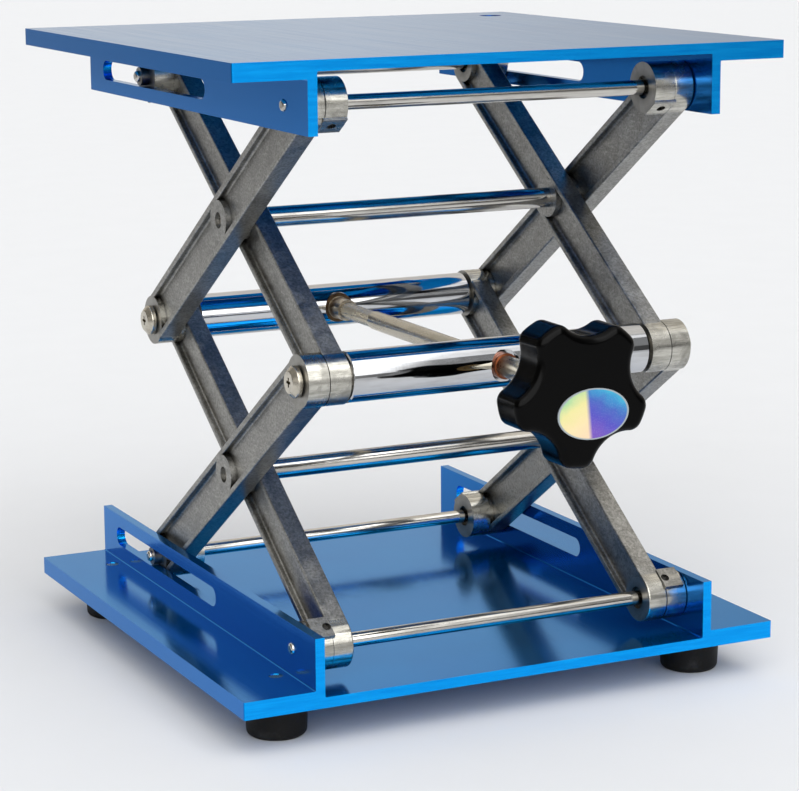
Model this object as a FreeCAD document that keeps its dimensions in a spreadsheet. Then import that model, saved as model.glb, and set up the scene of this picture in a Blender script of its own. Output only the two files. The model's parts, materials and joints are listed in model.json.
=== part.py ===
import FreeCAD, Part
import math
import os
import Sketcher
from FreeCAD import Placement, Rotation, Vector

# A screw-driven laboratory scissor jack, in millimetres, +Z up, standing on its four feet.
# x = 0 is the plane of symmetry, z = 0 is the bench, and the knob points towards -Y.
# y = 0 is half way between the knob's badge and the plates' rear edges.
# The two plates are lengths of one extrusion.  Four pairs of arms join them: the outer lower arms
# and the outer upper arms lie next to the flanges, and the inner arms lie next to those.

doc = FreeCAD.newDocument("lab_jack")
sheet = doc.addObject("Spreadsheet::Sheet", "Sizes")

DRIVING_SIZES = {
    # the plate extrusion
    "plate_side": 200.0,
    "edge_thickness": 6.0,
    "web_thickness": 3.6,
    "flange_inset": 25.1,
    "flange_thickness": 3.3,
    "flange_reach": 23.6,
    "root_radius": 0.4,
    "corner_radius": 0.6,
    "pivot_height": 15.33,
    "pivot_inset": 18.9,
    "slot_front": 85.2,
    "slot_rear": 186.0,
    "slot_width": 7.0,
    "rod_hole_diameter": 8.5,
    "rod_hole_side_inset": 16.8,
    "rod_hole_rear_inset": 21.6,
    # the scissor
    "arm_length": 158.4,
    "arm_angle": 34.06,
    "arm_thickness": 7.3,
    "arm_radius": 8.5,
    "arm_web": 2.8,
    "arm_rim": 2.2,
    "arm_edge_radius": 0.5,
    "arm_root_radius": 0.8,
    "middle_boss_diameter": 17.6,
    "centre_boss_diameter": 14.0,
    "side_gap": 0.3,
    "pad_width": 8.2,
    "pad_overlap": 0.7,
    "inner_pad_height": 9.0,
    "inner_pad_inset": 1.0,
    "outer_pad_height": 8.4,
    "inner_hole_offset": 4.6,
    "outer_hole_offset": 7.0,
    "running_clearance": 0.1,
    # rods and fasteners
    "thin_rod_diameter": 5.0,
    "thin_rod_proud": 0.9,
    "thin_rod_end_diameter": 4.0,
    "thin_rod_end_radius": 1.0,
    "counterbore_diameter": 7.8,
    "counterbore_depth": 1.4,
    "centre_rod_diameter": 7.2,
    "centre_pin_diameter": 5.5,
    "centre_pin_recess": 1.6,
    "front_cross_rod_diameter": 17.0,
    "rear_cross_rod_diameter": 16.0,
    "cross_washer_diameter": 13.0,
    "cross_washer_thickness": 0.8,
    "rod_chamfer": 0.4,
    "bush_diameter": 6.5,
    "bush_recess": 0.7,
    "pivot_screw_diameter": 6.0,
    "pivot_head_diameter": 10.6,
    "pivot_head_height": 2.8,
    "pivot_head_face_diameter": 7.4,
    "pivot_head_rim_height": 1.3,
    "pivot_head_gap": 0.6,
    "cross_recess_width": 3.2,
    "cross_recess_depth": 1.6,
    "pivot_thread_depth": 12.0,
    "set_screw_diameter": 3.0,
    "set_screw_length": 4.5,
    "set_screw_socket": 1.5,
    # the feet
    "foot_height": 13.5,
    "foot_top_diameter": 21.2,
    "foot_bottom_diameter": 20.0,
    "foot_edge_radius": 2.0,
    "foot_side_inset": 20.3,
    "foot_end_inset": 21.5,
    "foot_recess_diameter": 10.5,
    "foot_recess_depth": 5.0,
    "foot_screw_diameter": 4.8,
    "foot_screw_head_diameter": 9.0,
    "foot_screw_head_height": 3.0,
    "foot_screw_recess": 0.2,
    # the lead screw and its nut
    "stem_diameter": 7.4,
    "shank_diameter": 6.8,
    "thread_diameter": 6.0,
    "thread_start": 111.0,
    "screw_end": 188.0,
    "nut_barrel_diameter": 8.0,
    "nut_flange_diameter": 11.0,
    "nut_flange_thickness": 1.6,
    "nut_seat": 5.8,
    "nut_reach": 15.5,
    "thrust_washer_diameter": 8.8,
    "thrust_washer_thickness": 2.0,
    "thrust_seat_diameter": 11.0,
    "thrust_seat": 6.6,
    "collar_diameter": 10.0,
    "collar_length": 6.0,
    # the knob
    "knob_reach": 41.8,
    "knob_thickness": 16.0,
    "knob_diameter": 48.4,
    "knob_lobes": 5,
    "knob_valley_depth": 6.0,
    "knob_valley_radius": 13.0,
    "knob_lobe_radius": 4.3,
    "knob_edge_radius": 2.8,
    "knob_phase": 49.0,
    "hub_diameter": 17.0,
    "hub_length": 11.8,
    "insert_diameter": 12.0,
    "insert_depth": 22.0,
    "badge_length": 25.6,
    "badge_width": 16.4,
    "badge_thickness": 0.4,
    "badge_right": 2.7,
    "badge_drop": 6.5,
}

for row, (alias, number) in enumerate(DRIVING_SIZES.items(), start=1):
    sheet.set(f"A{row}", alias)
    sheet.set(f"B{row}", str(number))
    sheet.setAlias(f"B{row}", alias)
doc.recompute()


class Size:
    """A length that keeps its number together with the sheet formula that gives it."""

    def __init__(self, number, formula):
        self.number = float(number)
        self.formula = formula

    def __add__(self, other):
        other = as_size(other)
        return Size(self.number + other.number, f"({self.formula} + {other.formula})")

    def __sub__(self, other):
        other = as_size(other)
        return Size(self.number - other.number, f"({self.formula} - {other.formula})")

    def __mul__(self, factor):
        return Size(self.number * factor, f"({self.formula} * {factor})")

    def __truediv__(self, divisor):
        return Size(self.number / divisor, f"({self.formula} / {divisor})")

    def __neg__(self):
        return Size(-self.number, f"(-1 * {self.formula})")

    def __float__(self):
        return self.number


def as_size(value):
    return value if isinstance(value, Size) else Size(value, repr(float(value)))


class Sizes:
    """The sheet's cells, read by alias."""

    def __getattr__(self, alias):
        return Size(sheet.get(alias), f"Sizes.{alias}")


S = Sizes()
ZERO = Size(0.0, "0.0")


# Places that several pieces share, in the jack's own frame.
def from_front(distance):
    """The y of a point that lies this far behind the plates' front edge."""
    total = S.plate_side + S.knob_reach + S.badge_thickness
    return float(distance) + float(S.knob_reach + S.badge_thickness) - float(total) / 2


ANGLE = math.radians(float(S.arm_angle))
STAGE_RISE = float(S.arm_length) * math.sin(ANGLE)
STAGE_RUN = float(S.arm_length) * math.cos(ANGLE)
FRONT_Y = from_front(S.pivot_inset)
REAR_Y = FRONT_Y + STAGE_RUN
PLATE_Y = from_front(S.plate_side / 2)
BASE_Z = float(S.foot_height)
LOW_Z = BASE_Z + float(S.pivot_height)
MID_Z = LOW_Z + STAGE_RISE
HIGH_Z = MID_Z + STAGE_RISE
TOP_Z = HIGH_Z + float(S.pivot_height)

# Distances of the side faces from the plane of symmetry.
flange_outer = S.plate_side / 2 - S.flange_inset
flange_inner = flange_outer - S.flange_thickness
outer_arm_face = flange_inner - S.side_gap
outer_arm_middle = outer_arm_face - S.arm_thickness / 2
inner_arm_face = outer_arm_face - S.arm_thickness - S.side_gap
inner_arm_middle = inner_arm_face - S.arm_thickness / 2
arm_stack_face = inner_arm_face - S.arm_thickness
boss_length = S.arm_thickness + S.side_gap


def bind(thing, name, size):
    """Set a property's number and tie it to the sheet."""
    size = as_size(size)
    thing.setExpression(name, size.formula)


def new_body(label):
    body = doc.addObject("PartDesign::Body", label)
    body.Label = label
    return body


def new_sketch(body, plane, offset=None):
    """A sketch on one of the body's own origin planes, lifted along the plane's normal."""
    sketch = body.newObject("Sketcher::SketchObject", f"{body.Name}_sketch")
    origin_plane = next(f for f in body.Origin.OriginFeatures if f.Role == plane)
    sketch.AttachmentSupport = [(origin_plane, "")]
    sketch.MapMode = "FlatFace"
    if offset is not None:
        sketch.AttachmentOffset = Placement(Vector(0, 0, float(offset)), Rotation())
        bind(sketch, "AttachmentOffset.Base.z", offset)
    return sketch


def put_point(sketch, geometry, position, x, y):
    """Hold one point of a sketch at x, y."""
    for kind, axis, size in (("DistanceX", -2, as_size(x)), ("DistanceY", -1, as_size(y))):
        if size.number == 0.0:
            sketch.addConstraint(Sketcher.Constraint("PointOnObject", geometry, position, axis))
        else:
            rule = Sketcher.Constraint(kind, -1, 1, geometry, position, size.number)
            index = sketch.addConstraint(rule)
            sketch.setExpression(f"Constraints[{index}]", size.formula)


def draw_polygon(sketch, corners):
    """A closed outline of straight edges through the corners."""
    points = [Vector(float(x), float(y), 0) for x, y in corners]
    count = len(points)
    first = sketch.GeometryCount
    for i in range(count):
        sketch.addGeometry(Part.LineSegment(points[i], points[(i + 1) % count]), False)
    for i, (x, y) in enumerate(corners):
        following = first + (i + 1) % count
        sketch.addConstraint(Sketcher.Constraint("Coincident", first + i, 2, following, 1))
        put_point(sketch, first + i, 1, x, y)


def draw_circle(sketch, x, y, diameter):
    centre = Vector(float(x), float(y), 0)
    circle = Part.Circle(centre, Vector(0, 0, 1), float(diameter) / 2)
    geometry = sketch.addGeometry(circle, False)
    put_point(sketch, geometry, 3, x, y)
    rule = Sketcher.Constraint("Diameter", geometry, float(diameter))
    index = sketch.addConstraint(rule)
    sketch.setExpression(f"Constraints[{index}]", as_size(diameter).formula)


def draw_stadium(sketch, start, end, y, radius):
    """Two half circles about (start, y) and (end, y), joined by straight edges."""
    reach = float(radius)
    left = Vector(float(start), float(y), 0)
    right = Vector(float(end), float(y), 0)
    up = Vector(0, reach, 0)
    normal = Vector(0, 0, 1)
    quarter = math.pi / 2
    first = sketch.GeometryCount
    left_arc, right_arc, top, bottom = range(first, first + 4)
    sketch.addGeometry(Part.ArcOfCircle(Part.Circle(left, normal, reach), quarter, 3 * quarter))
    sketch.addGeometry(Part.ArcOfCircle(Part.Circle(right, normal, reach), -quarter, quarter))
    sketch.addGeometry(Part.LineSegment(left + up, right + up))
    sketch.addGeometry(Part.LineSegment(left - up, right - up))
    joins = [
        (left_arc, 1, top, 1),
        (left_arc, 2, bottom, 1),
        (right_arc, 1, bottom, 2),
        (right_arc, 2, top, 2),
    ]
    for join in joins:
        sketch.addConstraint(Sketcher.Constraint("Tangent", *join))
    put_point(sketch, left_arc, 3, start, y)
    put_point(sketch, right_arc, 3, end, y)
    index = sketch.addConstraint(Sketcher.Constraint("Radius", left_arc, reach))
    sketch.setExpression(f"Constraints[{index}]", as_size(radius).formula)


def extrude(body, sketch, length, symmetric=False, backwards=False):
    pad = body.newObject("PartDesign::Pad", f"{body.Name}_pad")
    pad.Profile = sketch
    pad.SideType = "Symmetric" if symmetric else "One side"
    pad.Reversed = backwards
    bind(pad, "Length", length)


def cut_through(body, sketch, length, symmetric=False, backwards=False):
    """Cut a pocket along the sketch's normal, or both ways, and check that it removes material."""
    doc.recompute()
    before = body.Shape.Volume
    pocket = body.newObject("PartDesign::Pocket", f"{body.Name}_pocket")
    pocket.Profile = sketch
    pocket.SideType = "Symmetric" if symmetric else "One side"
    # a pocket runs against its sketch's normal unless it is reversed
    pocket.Reversed = not backwards
    bind(pocket, "Length", length)
    doc.recompute()
    if not body.Shape.Volume < before:
        raise RuntimeError(f"{body.Label}: a pocket cut nothing")
    return pocket


def revolve(body, sketch, axis):
    """Turn a profile once about one of its sketch's axes."""
    turned = body.newObject("PartDesign::Revolution", f"{body.Name}_revolution")
    turned.Profile = sketch
    turned.ReferenceAxis = (sketch, [axis])
    turned.Angle = 360


def round_edges(body, radius, wanted, kind="Fillet"):
    """Fillet or chamfer the edges of the body's last feature that the test picks."""
    doc.recompute()
    base = body.Tip
    names = [f"Edge{i}" for i, edge in enumerate(base.Shape.Edges, start=1) if wanted(edge)]
    dressing = body.newObject(f"PartDesign::{kind}", f"{body.Name}_{kind.lower()}")
    dressing.Base = (base, names)
    bind(dressing, "Radius" if kind == "Fillet" else "Size", radius)
    doc.recompute()


def box_of(edge):
    box = edge.BoundBox
    return (box.XMin, box.YMin, box.ZMin), (box.XMax, box.YMax, box.ZMax)


def near(place, wanted):
    return abs(float(place) - float(wanted)) < 1e-4


def lies_at(edge, axis, place):
    """Whether the whole edge lies in the plane where this coordinate has this value."""
    low, high = box_of(edge)
    return near(low[axis], place) and near(high[axis], place)


def mirrored(source, label, normal):
    """The piece's twin across the plane x = 0 or the plates' middle plane."""
    twin = doc.addObject("Part::Mirroring", label)
    twin.Source = source
    twin.Normal = normal
    twin.Base = Vector(0, PLATE_Y, 0)
    twin.Label = label
    return twin


def grouped(label, pieces):
    """Separate identical solids that share one node."""
    group = doc.addObject("Part::Compound", label)
    group.Links = pieces
    group.Label = label
    return group


SIDEWAYS = Vector(1, 0, 0)
ENDWAYS = Vector(0, 1, 0)
X, Y, Z = 0, 1, 2
nodes = []


# ---------------------------------------------------------------- the plates
def make_plate(label, placement, hole_centres, hole_diameter):
    """A length of the extrusion, outer face at z = 0, flanges up, with its slots and holes."""
    body = new_body(label)
    half = S.plate_side / 2
    section = new_sketch(body, "XZ_Plane")
    right = [
        (half, ZERO),
        (half, S.edge_thickness),
        (flange_outer, S.edge_thickness),
        (flange_outer, S.flange_reach),
        (flange_inner, S.flange_reach),
        (flange_inner, S.web_thickness),
    ]
    left = [(-x, z) for x, z in reversed(right)]
    draw_polygon(section, right + left)
    extrude(body, section, S.plate_side, symmetric=True)

    side_view = new_sketch(body, "YZ_Plane")
    slot_radius = S.slot_width / 2
    slot_start = S.slot_front + slot_radius - half
    slot_end = S.slot_rear - slot_radius - half
    draw_stadium(side_view, slot_start, slot_end, S.pivot_height, slot_radius)
    pivot_hole = S.thin_rod_end_diameter + S.running_clearance
    draw_circle(side_view, S.pivot_inset - half, S.pivot_height, pivot_hole)
    cut_through(body, side_view, S.plate_side, symmetric=True)

    plan = new_sketch(body, "XY_Plane")
    for x, y in hole_centres:
        draw_circle(plan, x, y, hole_diameter)
    cut_through(body, plan, S.plate_side, symmetric=True)

    def is_root(edge):
        low, high = box_of(edge)
        outside = near(abs(low[X]), flange_outer) and near(low[Z], S.edge_thickness)
        inside = near(abs(low[X]), flange_inner) and near(low[Z], S.web_thickness)
        return high[Y] - low[Y] > float(half) and (outside or inside)

    round_edges(body, S.root_radius, is_root)

    def is_corner(edge):
        low, high = box_of(edge)
        return near(abs(low[X]), half) and near(high[X], low[X]) and near(high[Y], low[Y])

    round_edges(body, S.corner_radius, is_corner)
    body.Placement = placement
    nodes.append(body)


half_side = S.plate_side / 2
foot_x = half_side - S.foot_side_inset
foot_y = half_side - S.foot_end_inset
foot_centres = [(x, y) for x in (foot_x, -foot_x) for y in (foot_y, -foot_y)]
base_place = Placement(Vector(0, PLATE_Y, BASE_Z), Rotation())
make_plate("base_plate", base_place, foot_centres, S.foot_screw_diameter)

# Turned over about Y, the same section hangs its flanges down, and its left side is on the right.
rod_hole = (S.rod_hole_side_inset - half_side, half_side - S.rod_hole_rear_inset)
top_place = Placement(Vector(0, PLATE_Y, TOP_Z), Rotation(Vector(0, 1, 0), 180))
make_plate("top_plate", top_place, [rod_hole], S.rod_hole_diameter)


# ---------------------------------------------------------------- the feet
def make_foot(label):
    """A tapered rubber foot with a recess below for the screw's head."""
    body = new_body(label)
    profile = new_sketch(body, "XZ_Plane")
    bore = S.foot_screw_diameter / 2
    recess = S.foot_recess_diameter / 2
    outline = [
        (bore, S.foot_height),
        (S.foot_top_diameter / 2, S.foot_height),
        (S.foot_bottom_diameter / 2, ZERO),
        (recess, ZERO),
        (recess, S.foot_recess_depth),
        (bore, S.foot_recess_depth),
    ]
    draw_polygon(profile, outline)
    revolve(body, profile, "V_Axis")

    def is_lower_rim(edge):
        low, high = box_of(edge)
        return lies_at(edge, Z, 0) and high[X] > float(recess) + 1

    round_edges(body, S.foot_edge_radius, is_lower_rim)
    return body


def make_foot_screw(label):
    """A pan-head screw, head down in the foot's recess, its tip just below the plate's surface."""
    body = new_body(label)
    profile = new_sketch(body, "XZ_Plane")
    shank = S.foot_screw_diameter / 2
    head = S.foot_screw_head_diameter / 2
    head_base = S.foot_recess_depth - S.foot_screw_head_height
    tip = S.foot_height + S.edge_thickness - S.foot_screw_recess
    outline = [
        (ZERO, tip),
        (shank, tip),
        (shank, S.foot_recess_depth),
        (head, S.foot_recess_depth),
        (head, head_base),
        (ZERO, head_base),
    ]
    draw_polygon(profile, outline)
    revolve(body, profile, "V_Axis")

    def is_head_rim(edge):
        low, high = box_of(edge)
        return lies_at(edge, Z, float(head_base)) and high[X] > float(shank)

    round_edges(body, S.foot_screw_head_height / 3, is_head_rim)
    return body


front_left = Placement(Vector(-float(foot_x), PLATE_Y - float(foot_y), 0), Rotation())
foot = make_foot("foot_front_left")
foot.Placement = front_left
front_right_foot = mirrored(foot, "foot_front_right", SIDEWAYS)
rear_left_foot = mirrored(foot, "foot_rear_left", ENDWAYS)
rear_right_foot = mirrored(front_right_foot, "foot_rear_right", ENDWAYS)
nodes += [foot, front_right_foot, rear_left_foot, rear_right_foot]

foot_screw = make_foot_screw("foot_screw_blank")
foot_screw.Placement = front_left
foot_screw_twin = mirrored(foot_screw, "foot_screw_twin", SIDEWAYS)
foot_screw_pair = grouped("foot_screw_pair", [foot_screw, foot_screw_twin])
rear_foot_screws = mirrored(foot_screw_pair, "rear_foot_screws", ENDWAYS)
nodes.append(grouped("foot_screws", [foot_screw, foot_screw_twin, rear_foot_screws]))


# ---------------------------------------------------------------- the arms
class Arm:
    """Where a left-hand arm sits, which way its boss and pad face, and where its set screw goes."""

    def __init__(self, label, middle, y, z, turn, boss_side, pad_side):
        self.label = label
        self.place = Placement(Vector(-float(middle), y, z), Rotation(Vector(1, 0, 0), turn))
        self.boss_side = boss_side
        self.pad_side = pad_side
        if "inner" in label:
            self.pad_height = S.inner_pad_height
            self.pad_inset = S.inner_pad_inset
            self.hole_x = -S.inner_hole_offset
        else:
            self.pad_height = S.outer_pad_height
            self.pad_inset = ZERO
            self.hole_x = S.outer_hole_offset


slope = float(S.arm_angle)
ARMS = [
    Arm("lower_inner_arm", inner_arm_middle, FRONT_Y, LOW_Z, slope, -1, 1),
    Arm("lower_outer_arm", outer_arm_middle, REAR_Y, LOW_Z, 180 - slope, 1, -1),
    Arm("upper_outer_arm", outer_arm_middle, FRONT_Y, HIGH_Z, -slope, 1, -1),
    Arm("upper_inner_arm", inner_arm_middle, REAR_Y, HIGH_Z, 180 + slope, -1, 1),
]


def make_arm(arm):
    """A die-cast arm: x across its thickness, y along it from the plate-end pivot, z across its width."""
    body = new_body(f"{arm.label}_left")
    length = S.arm_length
    radius = S.arm_radius
    thickness = S.arm_thickness
    inner_radius = radius - S.arm_rim

    web = new_sketch(body, "YZ_Plane")
    draw_stadium(web, ZERO, length, ZERO, radius)
    extrude(body, web, S.arm_web, symmetric=True)

    rim = new_sketch(body, "YZ_Plane")
    draw_stadium(rim, ZERO, length, ZERO, radius)
    draw_stadium(rim, ZERO, length, ZERO, inner_radius)
    extrude(body, rim, thickness, symmetric=True)

    for level, fillet in ((thickness / 2, S.arm_edge_radius), (S.arm_web / 2, S.arm_root_radius)):
        round_edges(body, fillet, lambda edge: lies_at(edge, X, level) or lies_at(edge, X, -level))

    # the bosses fill the recess round the three pivots
    end_boss = inner_radius * 2 + S.arm_rim
    middle_boss = S.middle_boss_diameter
    for y, diameter in ((ZERO, end_boss), (length / 2, S.centre_boss_diameter), (length, middle_boss)):
        disc = new_sketch(body, "YZ_Plane")
        draw_circle(disc, y, ZERO, diameter)
        extrude(body, disc, thickness, symmetric=True)

    # the plate-end boss fills the other arm's layer too, and the set screw's pad lies along it
    face = thickness / 2 if arm.boss_side > 0 else -(thickness / 2)
    boss = new_sketch(body, "YZ_Plane", offset=face)
    draw_circle(boss, ZERO, ZERO, radius * 2)
    extrude(body, boss, boss_length, backwards=arm.boss_side < 0)

    pad_start = thickness / 2 - S.pad_overlap
    pad_length = S.pad_overlap + boss_length - arm.pad_inset
    pad_offset = pad_start if arm.boss_side > 0 else -pad_start
    pad = new_sketch(body, "YZ_Plane", offset=pad_offset)
    half_pad = S.pad_width / 2
    top = arm.pad_height if arm.pad_side > 0 else -arm.pad_height
    pad_corners = [(-half_pad, ZERO), (half_pad, ZERO), (half_pad, top), (-half_pad, top)]
    draw_polygon(pad, pad_corners)
    extrude(body, pad, pad_length, backwards=arm.boss_side < 0)

    bores = new_sketch(body, "YZ_Plane")
    centre_bore = S.centre_pin_diameter
    if "outer" in arm.label:
        centre_bore = centre_bore + S.running_clearance
    draw_circle(bores, ZERO, ZERO, S.thin_rod_diameter)
    draw_circle(bores, length / 2, ZERO, centre_bore)
    draw_circle(bores, length, ZERO, S.pivot_screw_diameter + S.running_clearance)
    cut_through(body, bores, S.plate_side, symmetric=True)

    # a shallow counterbore round the rod at the face that looks inwards
    inner_face = thickness / 2 + boss_length if arm.boss_side > 0 else thickness / 2
    relief = new_sketch(body, "YZ_Plane", offset=inner_face)
    draw_circle(relief, ZERO, ZERO, S.counterbore_diameter)
    cut_through(body, relief, S.counterbore_depth, backwards=True)

    # the set screw's hole runs from the rod out through the pad
    tapped = new_sketch(body, "XY_Plane")
    draw_circle(tapped, arm.hole_x, ZERO, S.set_screw_diameter)
    cut_through(body, tapped, S.arm_radius * 2, backwards=arm.pad_side < 0)

    body.Placement = arm.place
    return body


def make_set_screw(arm):
    """A socket set screw that bears on the rod inside the arm's boss."""
    body = new_body(f"{arm.label}_set_screw")
    hole_x = arm.hole_x
    start = S.thin_rod_diameter / 2
    start = start if arm.pad_side > 0 else -start
    barrel = new_sketch(body, "XY_Plane", offset=start)
    draw_circle(barrel, hole_x, ZERO, S.set_screw_diameter)
    extrude(body, barrel, S.set_screw_length, backwards=arm.pad_side < 0)
    end = start + S.set_screw_length if arm.pad_side > 0 else start - S.set_screw_length
    socket = new_sketch(body, "XY_Plane", offset=end)
    key = S.set_screw_socket / 2
    corners = [
        (hole_x + key, ZERO - key / 2),
        (hole_x + key, key / 2),
        (hole_x, key),
        (hole_x - key, key / 2),
        (hole_x - key, ZERO - key / 2),
        (hole_x, -key),
    ]
    draw_polygon(socket, corners)
    cut_through(body, socket, S.set_screw_length / 2, backwards=arm.pad_side > 0)
    body.Placement = arm.place
    return body


for arm in ARMS:
    left_arm = make_arm(arm)
    nodes += [left_arm, mirrored(left_arm, f"{arm.label}_right", SIDEWAYS)]
    left_screw = make_set_screw(arm)
    right_screw = mirrored(left_screw, f"{arm.label}_set_screw_twin", SIDEWAYS)
    nodes.append(grouped(f"{arm.label}_set_screws", [left_screw, right_screw]))


# ---------------------------------------------------------------- rods, bushes and washers
def make_rod(label, steps, y, z, end_radius=None):
    """A round rod along x, the same both ways: (half length, diameter) from the thick part out."""
    body = new_body(label)
    for half_length, diameter in steps:
        section = new_sketch(body, "YZ_Plane")
        draw_circle(section, ZERO, ZERO, diameter)
        extrude(body, section, half_length * 2, symmetric=True)

    tip = steps[-1][0]
    kind = "Chamfer" if end_radius is None else "Fillet"
    size = S.rod_chamfer if end_radius is None else end_radius
    round_edges(body, size, lambda edge: lies_at(edge, X, tip) or lies_at(edge, X, -tip), kind)
    body.Placement = Placement(Vector(0, y, z), Rotation())
    nodes.append(body)


def make_ring_pair(label, outer, inner, start, length, y, z):
    """Two equal rings about an axis along x, one on each side, start measured from the middle."""
    body = new_body(f"{label}_blank")
    section = new_sketch(body, "YZ_Plane", offset=-start)
    draw_circle(section, ZERO, ZERO, outer)
    draw_circle(section, ZERO, ZERO, inner)
    extrude(body, section, length, backwards=True)
    body.Placement = Placement(Vector(0, y, z), Rotation())
    twin = mirrored(body, f"{label}_twin", SIDEWAYS)
    nodes.append(grouped(label, [body, twin]))


thin_end = S.thin_rod_end_diameter
thin_steps = [(outer_arm_face, S.thin_rod_diameter), (flange_outer + S.thin_rod_proud, thin_end)]
bush_length = flange_outer - S.bush_recess - outer_arm_face
for level, z in (("base", LOW_Z), ("top", HIGH_Z)):
    make_rod(f"{level}_front_rod", thin_steps, FRONT_Y, z, S.thin_rod_end_radius)
    make_rod(f"{level}_slide_rod", thin_steps, REAR_Y, z, S.thin_rod_end_radius)
    bushes = f"{level}_slide_bushes"
    make_ring_pair(bushes, S.bush_diameter, thin_end, outer_arm_face, bush_length, REAR_Y, z)

pin_half = outer_arm_face - S.centre_pin_recess
centre_steps = [(arm_stack_face, S.centre_rod_diameter), (pin_half, S.centre_pin_diameter)]
middle_y = (FRONT_Y + REAR_Y) / 2
make_rod("lower_centre_rod", centre_steps, middle_y, (LOW_Z + MID_Z) / 2)
make_rod("upper_centre_rod", centre_steps, middle_y, (MID_Z + HIGH_Z) / 2)


# ---------------------------------------------------------------- the two cross rods
washer_start = arm_stack_face - S.side_gap - S.cross_washer_thickness


def make_cross_rod(label, y, diameter, bore, seat_diameter, seat):
    """A thick rod along x with tapped ends, a cross bore for the lead screw and a flat seat in front."""
    body = new_body(label)
    section = new_sketch(body, "YZ_Plane")
    draw_circle(section, ZERO, ZERO, diameter)
    extrude(body, section, washer_start * 2, symmetric=True)

    def is_end_rim(edge):
        return lies_at(edge, X, washer_start) or lies_at(edge, X, -washer_start)

    round_edges(body, S.rod_chamfer, is_end_rim, kind="Chamfer")

    for side in (1, -1):
        tapped = new_sketch(body, "YZ_Plane", offset=washer_start if side > 0 else -washer_start)
        draw_circle(tapped, ZERO, ZERO, S.pivot_screw_diameter)
        cut_through(body, tapped, S.pivot_thread_depth, backwards=side > 0)

    cross = new_sketch(body, "XZ_Plane")
    draw_circle(cross, ZERO, ZERO, bore)
    cut_through(body, cross, diameter * 2, symmetric=True)

    # the XZ plane's normal points to -Y, so this offset lifts the seat towards the knob
    flat = new_sketch(body, "XZ_Plane", offset=seat)
    draw_circle(flat, ZERO, ZERO, seat_diameter)
    cut_through(body, flat, diameter)

    body.Placement = Placement(Vector(0, y, MID_Z), Rotation())
    nodes.append(body)


front_bore = S.stem_diameter + S.running_clearance
front_seat = S.thrust_seat_diameter
rear_bore = S.nut_barrel_diameter
rear_seat = S.nut_flange_diameter + S.side_gap
front_size = S.front_cross_rod_diameter
rear_size = S.rear_cross_rod_diameter
make_cross_rod("front_cross_rod", FRONT_Y, front_size, front_bore, front_seat, S.thrust_seat)
make_cross_rod("rear_cross_rod", REAR_Y, rear_size, rear_bore, rear_seat, S.nut_seat)


def make_pivot_screws(label, y):
    """Two pan-head screws with cross recesses, through both arms into the ends of a cross rod."""
    body = new_body(f"{label}_blank")
    shank = S.pivot_screw_diameter / 2
    head = S.pivot_head_diameter / 2
    head_face = outer_arm_face + S.pivot_head_gap
    head_top = head_face + S.pivot_head_height
    tip = washer_start - S.pivot_thread_depth
    profile = new_sketch(body, "XZ_Plane")
    outline = [
        (-head_top, ZERO),
        (-head_top, S.pivot_head_face_diameter / 2),
        (-(head_face + S.pivot_head_rim_height), head),
        (-head_face, head),
        (-head_face, shank),
        (-tip, shank),
        (-tip, ZERO),
    ]
    draw_polygon(profile, outline)
    revolve(body, profile, "H_Axis")

    def is_head_rim(edge):
        low, high = box_of(edge)
        return high[X] < -float(head_face) - 0.1 and high[Z] - low[Z] > float(head)

    round_edges(body, S.pivot_head_rim_height / 3, is_head_rim)
    reach = S.cross_recess_width / 2
    slim = S.cross_recess_width / 7
    recess = new_sketch(body, "YZ_Plane", offset=-head_top)
    quadrants = [
        [(reach, -slim), (reach, slim), (slim, slim)],
        [(slim, reach), (-slim, reach), (-slim, slim)],
        [(-reach, slim), (-reach, -slim), (-slim, -slim)],
        [(-slim, -reach), (slim, -reach), (slim, -slim)],
    ]
    draw_polygon(recess, [corner for quadrant in quadrants for corner in quadrant])
    cut_through(body, recess, S.cross_recess_depth)
    body.Placement = Placement(Vector(0, y, MID_Z), Rotation())
    twin = mirrored(body, f"{label}_twin", SIDEWAYS)
    nodes.append(grouped(label, [body, twin]))


washer_outer = S.cross_washer_diameter
washer_inner = S.pivot_screw_diameter
washer_length = S.cross_washer_thickness
for end, y in (("front", FRONT_Y), ("rear", REAR_Y)):
    washers = f"{end}_rod_washers"
    make_ring_pair(washers, washer_outer, washer_inner, washer_start, washer_length, y, MID_Z)
    make_pivot_screws(f"{end}_pivot_screws", y)


# ---------------------------------------------------------------- the lead screw and its pieces
def make_turned(label, outline):
    """A piece turned about the lead screw's axis: outline of (radius, distance towards the knob)."""
    body = new_body(label)
    profile = new_sketch(body, "XY_Plane")
    draw_polygon(profile, [(radius, -reach) for radius, reach in outline])
    revolve(body, profile, "V_Axis")
    body.Placement = Placement(Vector(0, FRONT_Y, MID_Z), Rotation())
    nodes.append(body)


# distances along the screw from the front cross rod's axis, positive towards the knob
knob_face = S.pivot_inset + S.knob_reach
knob_back = knob_face - S.knob_thickness
hub_back = knob_back - S.hub_length
stem_tip = hub_back + S.insert_depth
collar_front = -(S.front_cross_rod_diameter / 2 + S.side_gap)
collar_rear = collar_front - S.collar_length
stem_radius = S.stem_diameter / 2
tip_chamfer = S.rod_chamfer * 2
screw_tail = S.pivot_inset - S.screw_end
thread_radius = S.thread_diameter / 2
screw_outline = [
    (ZERO, stem_tip),
    (stem_radius, stem_tip),
    (stem_radius, collar_rear),
    (S.shank_diameter / 2, collar_rear),
    (S.shank_diameter / 2, S.pivot_inset - S.thread_start),
    (thread_radius, S.pivot_inset - S.thread_start),
    (thread_radius, screw_tail + tip_chamfer),
    (thread_radius - tip_chamfer, screw_tail),
    (ZERO, screw_tail),
]
make_turned("lead_screw", screw_outline)

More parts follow.
